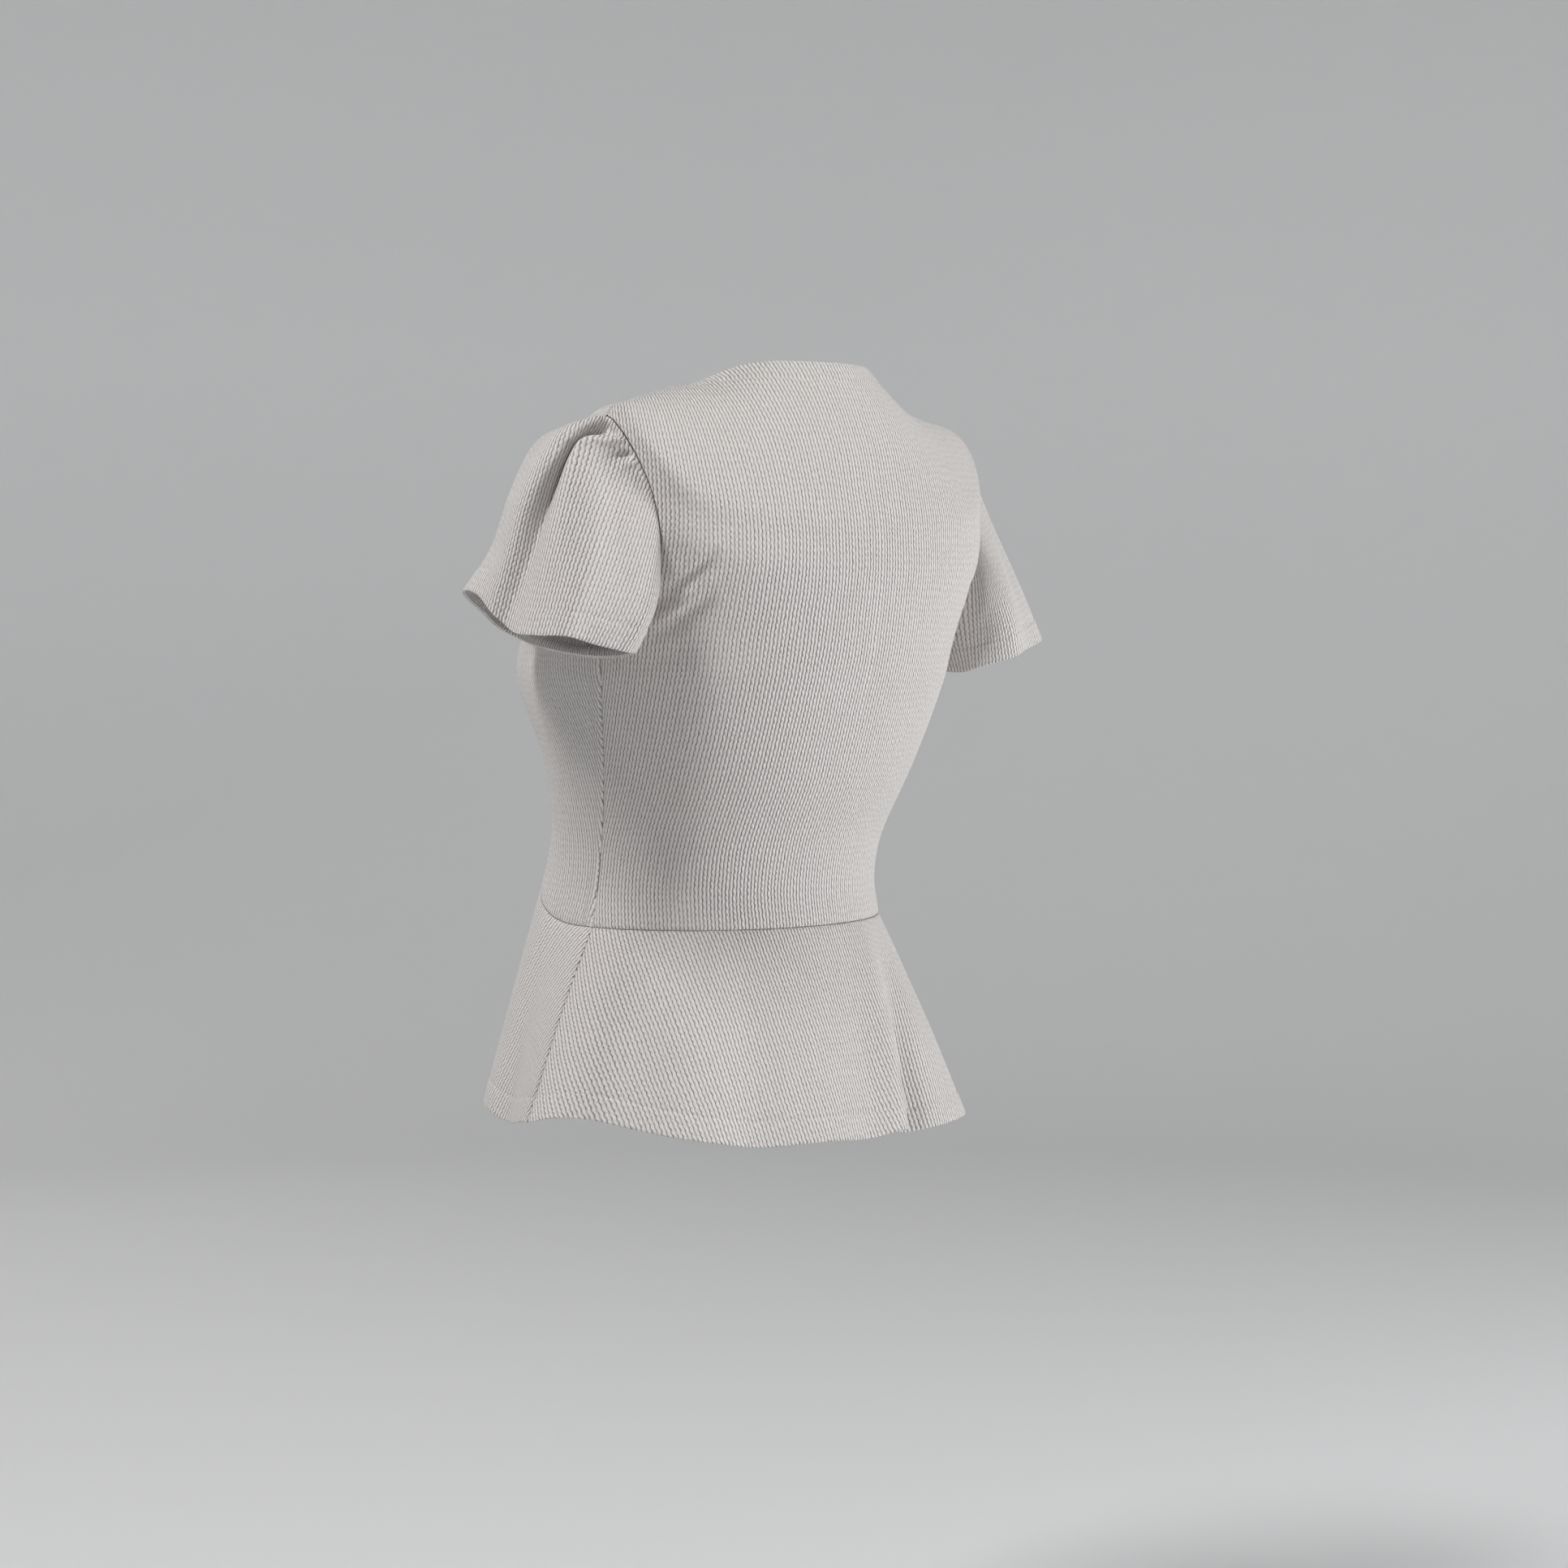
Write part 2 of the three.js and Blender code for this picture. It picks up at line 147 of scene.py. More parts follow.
# Stations round a sleeve, for the wearer's left: turn goes round the armhole in degrees, from the shoulder
# point over the back, the underarm and the front; hang is how much lower the right sleeve's hem hangs.
SLEEVE_RINGS = (0.25, 0.52, 0.78, 1)
Station = namedtuple("Station", "turn cap upper lower hem hang")
SLEEVE_STATIONS = (
    Station(0, (195, 21, -40), (217, 17, -79), (231, 17, -121), (246, 17, -167), 0),
    Station(20, (188, 37, -48), (209, 39, -90), (226, 42, -130), (243, 43, -172), 1),
    Station(40, (178, 51, -66), (195, 60, -103), (215, 66, -140), (235, 67, -173), 2),
    Station(80, (165, 75, -118), (174, 80, -140), (185, 82, -162), (196, 78, -183), 3),
    Station(120, (160, 68, -155), (164, 67, -165), (168, 65, -174), (171, 61, -184), 11),
    Station(150, (157, 40, -170), (160, 41, -176), (164, 43, -181), (167, 43, -187), 12),
    Station(180, (158, 4, -180), (161, 6, -182), (163, 8, -184), (164, 10, -187), 8),
    Station(210, (155, -38, -171), (158, -38, -175), (160, -38, -178), (161, -38, -182), 2),
    Station(240, (151, -62, -153), (154, -65, -160), (156, -68, -167), (157, -70, -175), 0),
    Station(280, (159, -62, -110), (166, -67, -130), (173, -71, -147), (181, -74, -163), 0),
    Station(320, (186, -31, -57), (199, -33, -90), (212, -38, -118), (229, -46, -144), 0),
    Station(342, (193, -6, -43), (214, -10, -80), (225, -13, -117), (240, -14, -147), 0),
)

# Folds that fan from the sleeve head: where each starts on the seam and ends at the hem, in degrees of turn,
# its half width there, and its depth near the seam, halfway and at the hem.
Fold = namedtuple("Fold", "seam_turn hem_turn width depth")
SLEEVE_FOLDS = (
    Fold(-14, -24, (6, 10), (2, 3, 2)),
    Fold(30, 62, (6, 14), (-2.5, -1.5, -4)),
    Fold(-25, -40, (6, 10), (-4, -2, -1)),
    Fold(-38, -64, (6, 12), (-4, -4, -5)),
)

# The deep pleat at the sleeve head, at shares of the sleeve's length: the turn of its trough, how deep it is,
# how broad its open side, how high the ridge beside it stands, and how far that ridge laps over the trough.
# Then, in degrees of turn: how broad its steep side is, how far off and how broad the ridge and the lap are.
PLEAT_AT = (0, 0.27, 0.5, 0.72, 1)
PLEAT_TROUGH = (6, 4.5, 0.5, -1.5, -4)
PLEAT_DEPTH = (-9, -12, -14, -11, -7)
PLEAT_OPEN = (10, 4.5, 9, 13, 16)
PLEAT_RIDGE = (1, 3, 3.5, 3, 1.5)
PLEAT_LAP = (0, 4.5, 4.5, 2, 0)
PLEAT_WALL = 3
RIDGE_OFF, RIDGE_WIDTH = 7, 6
LAP_OFF, LAP_WIDTH = 4.5, 4

# The shares of the sleeve's length over which its folds and its pleats start from the flat seam.
FOLD_START = 0.14
PLEAT_START = 0.05

# Short pleats below the seam of the sleeve head, each from one (turn, share) to another.
Crease = namedtuple("Crease", "start end depth width")
SLEEVE_CREASES = (
    Crease((15, 0.01), (8, 0.22), -2.5, 2.6),
    Crease((21, 0.0), (12, 0.27), 2.4, 3.0),
    Crease((28, 0.0), (32, 0.16), -3.6, 2.2),
    Crease((33, 0.0), (38, 0.22), 1.8, 3.0),
    Crease((-35, 0.06), (2, 0.05), 1.5, 4.0),
    Crease((-22, 0.0), (-24, 0.2), -2.6, 2.6),
    Crease((-18, 0.0), (-20, 0.2), 1.2, 3.0),
    Crease((-34, 0.0), (-38, 0.17), -2.2, 2.6),
)

# Soft creases of the bodice, each from one point to another given as (azimuth, drop): depth is how far the
# cloth sinks or, above 0, stands out, and width half its breadth.
BODICE_CREASES = (
    Crease((70, 183), (50, 150), -4.2, 5.5),
    Crease((66, 172), (49, 142), 1.8, 6),
    Crease((68, 196), (51, 177), -3.4, 5.5),
    Crease((67, 188), (51, 164), 2.0, 5),
    Crease((70, 208), (55, 203), -1.2, 7),
    Crease((-69, 184), (-50, 156), -2.2, 6),
    Crease((-65, 175), (-49, 147), 1.2, 6),
    Crease((-68, 197), (-53, 184), -1.7, 6),
    Crease((112, 182), (132, 172), -1.8, 6),
    Crease((-112, 182), (-130, 170), -1.9, 6),
    Crease((106, 198), (124, 212), -1.2, 7),
    Crease((-107, 199), (-126, 210), -1.3, 7),
)

# A crease starts with this share of its length already risen, and keeps at least this share of its depth.
CREASE_START = 0.2
CREASE_LEAST = 0.35

# How finely the cloth is laid out, in mm: the step of the large panels, the rows along the armhole, the stops
# beside a seam or a folded edge and beside a row of stitches, and how far a panel ends short of a side seam.
CLOTH_STEP = 3
ARMHOLE_ROWS = 72
EDGE_STOPS = (0.35, 0.8, 1.4, 2.2, 3.4, 5)
STITCH_STOPS = (-1.6, -0.8, 0, 0.8, 1.6, 3)
SEAM_GAP = 0.06

# The length in mm that a peplum panel's steps are shared over; a sleeve's columns in degrees of turn, which
# are finer over its pleats, on each side of the shoulder point; and its rows in mm.
PEPLUM_STEP_SPAN = 500
SLEEVE_COLUMN = 2
PLEAT_COLUMN = 0.8
PLEAT_SPAN = 44
SLEEVE_ROW = 2

# How far the ribs spread and close with the body's girth, from 0, an even pitch, to 1; how many more ribs a
# sleeve has than its flat size would give; and the steps in which a quarter of a ring is measured.
RIB_SPREAD = 0.25
SLEEVE_RIBS = 1.14
RUN_STEPS = 45

# A sleeve's flat pattern follows straight ribs. Each one's direction is averaged with those this far off on
# both sides, that many times; its foot on the hem is found in steps of a share of the way; and the cloth that
# a pleat takes up is spread over this many degrees of turn.
RIB_NEIGHBOUR = 4
RIB_AVERAGES = 2
RIB_STEPS = 6
RIB_STEP_SHARE = 0.6
SPARE_SPREAD = 14

# Turned hems, in mm from the edge to the stitches.
NECK_HEM = 15
PEPLUM_HEM = 17
SLEEVE_HEM = 18

# The relief of a seam and of a hem, in mm: how high each feature stands or, below 0, how deep it is, how far
# it reaches, and for puckers the length of their waves. A hem's band stands out all over by HEM_BAND, and its
# edge is thinner by a share of its thickness, HEM_THIN.
Relief = namedtuple("Relief", "depth reach wave", defaults=(None,))
SEAM_DIVE = Relief(-0.75, 1.3)
SEAM_PUCKER = Relief(0.22, 5, 7)
HEM_BAND = 0.35
HEM_STITCHES = Relief(-0.6, 1.0)
HEM_PUCKER = Relief(0.4, 4, 6)
HEM_ROLL = Relief(-0.55, 0.6)
HEM_THIN = Relief(-0.8, 0.5)

# The slow waves of each kind of piece, in mm, and where its noise is read for seams, hems and waves.
Wave = namedtuple("Wave", "depth length seam_seed hem_seed seed")
BODICE_WAVE = Wave(0.5, 55, 3, 11, 17)
PEPLUM_WAVE = Wave(0.5, 45, 23, 29, 31)
SLEEVE_WAVE = Wave(0.4, 35, 41, 43, 47)

# The flat cut in metres: a bodice panel, a ring sector of peplum, and a sleeve.
BODICE_WIDTH = 0.456
PEPLUM_INNER = 0.3335
PEPLUM_LENGTH = 0.15
PEPLUM_SECTOR = 64
SLEEVE_LENGTH = 0.165

# The camera, for an image 1932 pixels square: its distance and height in metres, its focal length in pixels,
# and the pixel where the level line from it through the blouse's upright axis falls.
PHOTO_SIDE = 1932
SENSOR = 36
CAMERA_DISTANCE = 2.2
CAMERA_HEIGHT = -0.176
CAMERA_FOCUS = 3850
CAMERA_AXIS = (930, 790)

# The floor, in metres: the reach of its flat part, the curve round it, and the height of its rim. Its faces,
# by the curve and round about, and its paint: the scale of its clouds and how much darker they are.
FLOOR_FLAT = 2.9
FLOOR_CURVE = 1.4
FLOOR_RIM = 3.6
FLOOR_BENDS = 12
FLOOR_SIDES = 96
FLOOR_CLOUDS = 0.6
FLOOR_DARKER = 0.97
FLOOR_ROUGHNESS = 0.9

# The studio's soft lights: place and size in metres, and the name of the setting that holds the power.
Lamp = namedtuple("Lamp", "name place size power colour")
LAMPS = (
    Lamp("Key", (-1.9, 2.3, 0.2), (0.7, 0.9), "key_power", (0.98, 0.99, 1)),
    Lamp("Side", (2.0, 0.0, 2.3), (0.8, 0.8), "side_power", (1, 0.995, 0.99)),
    Lamp("Front", (-0.3, -2.9, 1.1), (1.6, 1.8), "front_power", (1, 0.99, 0.98)),
)
LIGHT_AIM = (0, 0, -0.22)
SKY_COLOUR = (1, 0.975, 0.95, 1)

# The knit. A groove lies at each half of the rib pitch, and places across it are in ribs, so in halves of the
# pitch. Scales are those of noise on the flat pattern in metres.
DRIFT_SCALE, DRIFT_RIBS = 30.0, 0.7  # grooves wander aside
STRAY_RIB, STRAY_ROW, STRAY_BEATS = 0.16, 40, 2.2  # zigzags get out of step
SWAY_RIBS, SWAY_BLUNT = 0.085, 0.45  # how wide a zigzag is and how blunt its corners are
GROOVE_SHARP = 48  # how narrow a groove is
SLANT_LOSS = 0.16  # how much fainter a groove's every second slant is
PATCH_SCALE, PATCH_GAIN, PATCH_LEAST = 320.0, 0.7, 0.4  # grooves come and go
MINOR_LOSS = 0.14  # how much fainter every second groove is
CREPE_SCALE, CREPE_DETAIL = 850.0, 4.0  # grain of the yarn
CROWN_HIGH, BEAD_HIGH, CUT_HIGH, CREPE_HIGH = 0.6, 0.2, -0.35, 0.9  # shares of the relief
MOTTLE_SCALE, MOTTLE_DETAIL = 18.0, 3.0  # patches of the warm colour
# The groove colour is painted shade, laid into each groove where shade falls.
GROOVE_SHADE = 0.95  # how far a groove takes the groove colour
KNIT_FINISH = {"Roughness": 0.62, "Specular IOR Level": 0.45, "Sheen Weight": 0.1, "Sheen Roughness": 0.5}


def mix(a, b, share):
    return a + (b - a) * share


def clamp(value, low, high):
    return min(high, max(low, value))


def smooth_step(low, high, value):
    share = clamp((value - low) / (high - low), 0, 1)
    return share * share * (3 - 2 * share)


def turn_between(start, end):
    """The way from one angle to another, from -180 to 180 degrees."""
    return (end - start + 180) % 360 - 180


def cubic_through(knots, values, at):
    """A smooth curve through the values at the knots, whose slopes come from the neighbours."""
    last = len(knots) - 1
    i = int(clamp(bisect_right(knots, at) - 1, 0, last - 1))

    def slope(k):
        before, after = max(0, k - 1), min(last, k + 1)
        return (values[after] - values[before]) / (knots[after] - knots[before])

    span = knots[i + 1] - knots[i]
    u = clamp((at - knots[i]) / span, 0, 1)
    v = 1 - u
    return (
        values[i] * v * v * (1 + 2 * u)
        + values[i + 1] * u * u * (3 - 2 * u)
        + span * u * v * (slope(i) * v - slope(i + 1) * u)
    )


def round_table(rows, key, read):
    """A function of an angle that runs smoothly through a table going all the way round."""
    count = len(rows)
    places = range(-2, count + 2)
    knots = [getattr(rows[i % count], key) + 360 * (i // count) for i in places]
    values = [read(rows[i % count]) for i in places]
    first = getattr(rows[0], key)
    return lambda angle: cubic_through(knots, values, first + (angle - first) % 360)


RING_DROPS = [ring.drop for ring in BODY_RINGS]


def ring_value(name, index, drop):
    return cubic_through(RING_DROPS, [getattr(ring, name)[index] for ring in BODY_RINGS], drop)


class Section:
    """One ring of the torso, whose points are asked for by azimuth: 0 is the centre back, 180 the front."""

    def __init__(self, drop):
        self.side = [ring_value("side", axis, drop) for axis in range(3)]
        self.centre = [[ring_value(facing, axis, drop) for axis in range(2)] for facing in ("back", "front")]
        self.power = [2 / ring_value("square", half, drop) for half in range(2)]
        self.crown = [ring_value("crown", half, drop) for half in range(2)]

    def point(self, azimuth):
        sine = math.sin(math.radians(azimuth))
        cosine = math.cos(math.radians(azimuth))
        half = 0 if cosine >= 0 else 1
        power = self.power[half]
        forward = abs(cosine) ** power
        x = self.side[0] * math.copysign(abs(sine) ** power, sine)
        z = mix(self.centre[half][1], self.side[2], abs(sine) ** self.crown[half])
        y = mix(self.side[1], self.centre[half][0], forward)
        if half == 1:
            across = (abs(x) - BUST_ACROSS) / BUST_WIDTH
            up = (z - BUST_HEIGHT) / BUST_TALL
            y -= BUST_RISE * math.exp(-across * across - up * up) * math.sqrt(forward)
        return Vector((x, y, z))

    def side_edge(self, half):
        """How many degrees short of the side a panel ends, so that it keeps clear of the side seam."""
        depth = abs(self.centre[half][0] - self.side[1])
        return math.degrees(math.asin((SEAM_GAP / depth) ** (1 / self.power[half])))


def body_point(azimuth, drop):
    return Section(drop).point(azimuth)


ARMHOLE_TURNS = [station.turn for station in ARMHOLE_SEAM]


def armhole_drop(turn):
    return cubic_through(ARMHOLE_TURNS, [station.drop for station in ARMHOLE_SEAM], turn)


def armhole_bite(turn, half):
    return cubic_through(ARMHOLE_TURNS, [station.bite[half] for station in ARMHOLE_SEAM], turn)


def armhole_point(turn):
    """A point of the left armhole's seam, at a turn round the whole armhole."""
    around = turn % 360
    half = 0 if around <= 180 else 1
    down = around if half == 0 else 360 - around
    bite = armhole_bite(down, half)
    return body_point(90 - bite if half == 0 else 90 + bite, armhole_drop(down))


ARMHOLE_CENTRE = sum((armhole_point(turn) for turn in (0, 90, 180, 270)), Vector()) / 4

peplum_length = round_table(PEPLUM_STATIONS, "azimuth", lambda row: row.length)
peplum_spread = round_table(PEPLUM_STATIONS, "azimuth", lambda row: row.spread)


def flute_swing(azimuth, share):
    """How far the flutes swing the peplum out of its plain cone."""
    total = 0
    for flute in PEPLUM_FLUTES:
        off = turn_between(flute.azimuth + flute.lean * (1 - share), azimuth) / flute.width
        total += flute.swing * math.exp(-off * off)
    return total * share**FLUTE_EASE


def peplum_line(azimuth, shares):
    """The points down the peplum at an azimuth, at these shares of its length."""
    waist = Section(WAIST_DROP)
    seam = waist.point(azimuth)
    aside = waist.point(azimuth + 0.5) - waist.point(azimuth - 0.5)
    outwards = Vector((-aside.y, aside.x, 0)).normalized()
    length, spread = peplum_length(azimuth), peplum_spread(azimuth)

    def reach(share):
        return spread * (1 + PEPLUM_FLARE * (1 - share)) * share + flute_swing(azimuth, share)

    def fall(share):
        along = length * share / PEPLUM_STEPS
        steps = [reach(i * share / PEPLUM_STEPS) for i in range(PEPLUM_STEPS + 1)]
        return sum(math.sqrt(max(along**2 - (b - a) ** 2, 0)) for a, b in zip(steps, steps[1:]))

    points = []
    for share in shares:
        point = seam + outwards * reach(share)
        point.z = seam.z - SEAM_EDGE - fall(share)
        points.append(point)
    return points


def sleeve_start(turn):
    """Where the sleeve starts: just inside the edge of the armhole."""
    seam = armhole_point(turn)
    along = (armhole_point(turn + 3) - armhole_point(turn - 3)).normalized()
    inwards = ARMHOLE_CENTRE - seam
    inwards = (inwards - along * inwards.dot(along)).normalized()
    return seam + inwards * SEAM_EDGE


def sleeve_fold(turn, share):
    """How deep the pleats are at a turn and a share of the sleeve's length."""
    total = 0
    for fold in SLEEVE_FOLDS:
        centre = mix(fold.seam_turn, fold.hem_turn, smooth_step(0, 1, share))
        off = turn_between(centre, turn) / mix(fold.width[0], fold.width[1], share)
        total += cubic_through((0, 0.45, 1), fold.depth, share) * math.exp(-off * off)
    return total


def sleeve_lines(turns, shares, hangs):
    """The sleeve without its pleats, as an array of points by turn and share."""

    def table(ring, axis):
        return round_table(SLEEVE_STATIONS, "turn", lambda row: getattr(row, ring)[axis])

    tables = [[table(ring, axis) for axis in range(3)] for ring in ("cap", "upper", "lower", "hem")]
    hang_at = round_table(SLEEVE_STATIONS, "turn", lambda row: row.hang)
    knots = (0, *SLEEVE_RINGS)
    lines = []
    for turn in turns:
        stations = [tuple(sleeve_start(turn))]
        hang = hangs * hang_at(turn)
        for share, axes in zip(SLEEVE_RINGS, tables):
            x, y, z = (read(turn) for read in axes)
            stations.append((x, y, z - hang * share**2))
        by_axis = list(zip(*stations))
        lines.append([[cubic_through(knots, values, share) for values in by_axis] for share in shares])
    return np.array(lines)


def graded(length, step, starts=(), ends=()):
    """Stops from 0 to a length: those given from each end, with even steps between them."""
    stops = sorted({0, length, *starts, *(length - stop for stop in ends)})
    filled = [0]
    for low, high in zip(stops, stops[1:]):
        count = max(1, round((high - low) / step))
        filled += [low + (high - low) * (i + 1) / count for i in range(count)]
    return filled


def stitch_stops(depth):
    """Stops that draw a hem as deep as this: its rolled edge and its row of stitches."""
    return (*EDGE_STOPS, *(depth + off for off in STITCH_STOPS))


def run_along(points, axis):
    """How far each point lies along the cloth from the first one of its row or column."""
    steps = np.linalg.norm(np.diff(points, axis=axis), axis=2)
    return np.concatenate([np.zeros_like(steps.take([0], axis=axis)), np.cumsum(steps, axis=axis)], axis=axis)


def outward(points, joined):
    """The outward normals of a sheet of points; joined says that its last column meets its first."""
    if joined:
        wrapped = np.concatenate([points[-2:-1], points, points[1:2]])
        across = np.gradient(wrapped, axis=0)[1:-1]
    else:
        across = np.gradient(points, axis=0)
    normals = np.cross(across, np.gradient(points, axis=1))
    return normals / np.linalg.norm(normals, axis=2, keepdims=True)


def ripple(points, size, seed):
    """Smooth noise from about -1 to 1 over a sheet of points, with waves about as long as size."""
    flat = points.reshape(-1, 3) / size + seed
    return np.array([noise.noise(Vector(point)) for point in flat]).reshape(points.shape[:2])


def seam_relief(points, distance, seed):
    """The cloth dives into a seam and puckers a little beside it."""
    pucker = ripple(points, SEAM_PUCKER.wave, seed) * np.exp(-distance / SEAM_PUCKER.reach)
    return SEAM_DIVE.depth * np.exp(-distance / SEAM_DIVE.reach) + SEAM_PUCKER.depth * pucker


def past(distance, line):
    """From 0 before a line to 1 beyond it, within about a millimetre."""
    return 0.5 + 0.5 * np.tanh(2 * (distance - line))


def hem_relief(points, distance, depth, seed):
    """A turned hem: a rolled edge, a slightly raised band, and the groove of its stitches."""
    off = distance - depth
    band = HEM_BAND * (1 - past(distance, depth))
    stitches = HEM_STITCHES.depth * np.exp(-((off / HEM_STITCHES.reach) ** 2))
    near = np.exp(-((off / HEM_PUCKER.reach) ** 2))
    pucker = HEM_PUCKER.depth * ripple(points, HEM_PUCKER.wave, seed) * near
    return band + stitches + pucker + HEM_ROLL.depth * np.exp(-distance / HEM_ROLL.reach)


def hem_weight(distance, depth):
    """How thick the cloth is, from 0 where it is single to 1 where the hem doubles it."""
    edge = 1 + HEM_THIN.depth * np.exp(-distance / HEM_THIN.reach)
    return (1 - past(distance, depth)) * edge


def crease_relief(points, creases, place):
    """Soft creases, each along a straight way between two points of the cloth."""
    total = np.zeros(points.shape[:2])
    for crease in creases:
        start, end = np.array(place(crease.start)), np.array(place(crease.end))
        way = end - start
        share = np.clip((points - start) @ way / (way @ way), 0, 1)
        off = np.linalg.norm(points - start - share[..., None] * way, axis=2)
        ease = np.sin(np.pi * np.clip(mix(CREASE_START, 1, share), 0, 1))
        total += crease.depth * mix(CREASE_LEAST, 1, ease) * np.exp(-((off / crease.width) ** 2))
    return total


def cloth_piece(context, name, points, flat, relief, weight, joined=False):
    """A sheet of cloth through the points, in mm, whose UV map is its flat pattern in metres."""
    look = context.scene.blouse_cloth
    columns, rows = points.shape[:2]
    places = (points + outward(points, joined) * relief[..., None]) * MM
    bm = bmesh.new()
    pattern = bm.loops.layers.uv.new("flat_pattern")
    bmesh.ops.create_grid(bm, x_segments=columns - 1, y_segments=rows - 1, size=1, calc_uvs=True)
    thick = bm.verts.layers.deform.verify()
    knots = []
    for vert in bm.verts:
        i = round((vert.co.x + 1) / 2 * (columns - 1))
        j = round((vert.co.y + 1) / 2 * (rows - 1))
        knots.append((i, j))
        vert.co = places[i, j]
        vert[thick][0] = float(np.clip(weight[i, j], 0, 1))
    for face in bm.faces:
        face.smooth = True
        for loop in face.loops:
            loop[pattern].uv = flat[knots[loop.vert.index]]
    if joined:
        bmesh.ops.remove_doubles(bm, verts=bm.verts, dist=1e-6)
    mesh = bpy.data.meshes.new(name)
    bm.to_mesh(mesh)
    bm.free()
    piece = bpy.data.objects.new(name, mesh)
    context.scene.collection.objects.link(piece)
    piece.vertex_groups.new(name="hem")
    wall = piece.modifiers.new("Cloth thickness", "SOLIDIFY")
    wall.thickness = look.hem_thickness
    wall.offset = -1
    wall.vertex_group = "hem"
    wall.thickness_vertex_group = look.thickness / look.hem_thickness
    piece.data.materials.append(knit_material(look))
    return piece


def finish_piece(piece, node):
    """What the frame is told about a finished piece of cloth."""
    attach(piece, "root")
    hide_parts(node)


def bodice_rows():
    """The rows of a bodice panel, from the waist seam to the neck, as pairs of armhole turn and drop."""
    below = WAIST_DROP - SEAM_GAP - ARMPIT_DROP
    rows = [(180, WAIST_DROP - SEAM_GAP - stop) for stop in graded(below, CLOTH_STEP, EDGE_STOPS)]
    turns = graded(180, 180 / ARMHOLE_ROWS)
    rows += [(180 - turn, armhole_drop(180 - turn)) for turn in turns[1:]]
    neck = graded(SHOULDER_DROP, CLOTH_STEP, (), stitch_stops(NECK_HEM))
    rows += [(0, SHOULDER_DROP - stop) for stop in neck[1:]]
    return rows


def rib_run(section):
    """How far round a ring its points lie from its centre lines, measured level: a function of azimuth, and
    the tables that it reads for the back and the front."""
    azimuths = np.linspace(0, 90, RUN_STEPS + 1)
    tables = []
    for half in range(2):
        ring = [section.point(180 * half + (azimuth if half == 0 else -azimuth)) for azimuth in azimuths]
        steps = [0] + [math.hypot(b.x - a.x, b.y - a.y) for a, b in zip(ring, ring[1:])]
        tables.append(np.cumsum(steps))
    return lambda azimuth, half: float(np.interp(azimuth, azimuths, tables[half])), tables


def bodice_panel(half):
    """The points and the flat pattern of the back (0) or front (1) of the bodice."""
    rows = bodice_rows()
    wide = BODICE_WIDTH * 1000
    shares = [stop / wide * 2 - 1 for stop in graded(wide, CLOTH_STEP, EDGE_STOPS, EDGE_STOPS)]
    points = np.zeros((len(shares), len(rows), 3))
    flat = np.zeros((len(shares), len(rows), 2))
    shoulder_run = rib_run(Section(SHOULDER_DROP))[1][half][-1]
    height = 0
    centre_before = None
    for j, (turn, drop) in enumerate(rows):
        section = Section(drop)
        run_at, tables = rib_run(section)
        whole = tables[half][-1] if drop > SHOULDER_DROP else shoulder_run
        reach = 90 - section.side_edge(half) - armhole_bite(turn, half)
        centre = section.point(180 * half)
        if centre_before is not None:
            height += (centre - centre_before).length
        centre_before = centre
        for i, share in enumerate(shares):
            point = section.point(180 * half - share * reach)
            points[i, j] = point
            run = run_at(abs(share) * reach, half) * MM * mix(1, BODICE_WIDTH / 2 / (whole * MM), RIB_SPREAD)
            flat[i, j] = math.copysign(run, share), (height + point.z - centre.z) * MM
    return points, flat


def peplum_panel(half):
    """The points and the flat pattern of the back (0) or front (1) of the peplum, a sector of a ring."""
    stops = graded(PEPLUM_STEP_SPAN, CLOTH_STEP, EDGE_STOPS, EDGE_STOPS)
    down = graded(PEPLUM_LENGTH * 1000, CLOTH_STEP, EDGE_STOPS, stitch_stops(PEPLUM_HEM))
    shares = [stop / down[-1] for stop in reversed(down)]
    edge = Section(WAIST_DROP).side_edge(half)
    centre = 180 * half
    azimuths = [centre - (stop / PEPLUM_STEP_SPAN * 2 - 1) * (90 - edge) for stop in stops]
    points = np.array([[tuple(point) for point in peplum_line(azimuth, shares)] for azimuth in azimuths])
    seam_run = run_along(points, 0)[:, -1]
    turn = (seam_run / seam_run[-1] - 0.5) * math.radians(PEPLUM_SECTOR)
    reach = PEPLUM_INNER + np.array(shares) * PEPLUM_LENGTH
    flat = np.stack([np.outer(np.sin(turn), reach), -np.outer(np.cos(turn), reach)], axis=2)
    return points, flat


def pleat_at(turns, shares):
    """The deep pleat over a sheet of turns and shares: how far it lifts the cloth, and how far it laps it."""
    lift = np.zeros((len(turns), len(shares)))
    lap = np.zeros_like(lift)
    for j, share in enumerate(shares):
        trough, depth, broad, ridge, over = (
            cubic_through(PLEAT_AT, table, share)
            for table in (PLEAT_TROUGH, PLEAT_DEPTH, PLEAT_OPEN, PLEAT_RIDGE, PLEAT_LAP)
        )
        for i, turn in enumerate(turns):
            off = turn_between(trough, turn)
            wide = PLEAT_WALL if off < 0 else broad
            crest = math.exp(-(((off + RIDGE_OFF) / RIDGE_WIDTH) ** 2))
            lift[i, j] = depth * math.exp(-((off / wide) ** 2)) + ridge * crest
            lap[i, j] = over * math.exp(-(((off + LAP_OFF) / LAP_WIDTH) ** 2))
    return lift, lap


def smoothed(table, turns):
    """The table averaged over the turns near each one."""
    off = np.subtract.outer(np.array(turns), np.array(turns))
    share = np.exp(-((off / SPARE_SPREAD) ** 2)) * np.gradient(np.array(turns))
    return (share / share.sum(axis=1, keepdims=True)) @ table


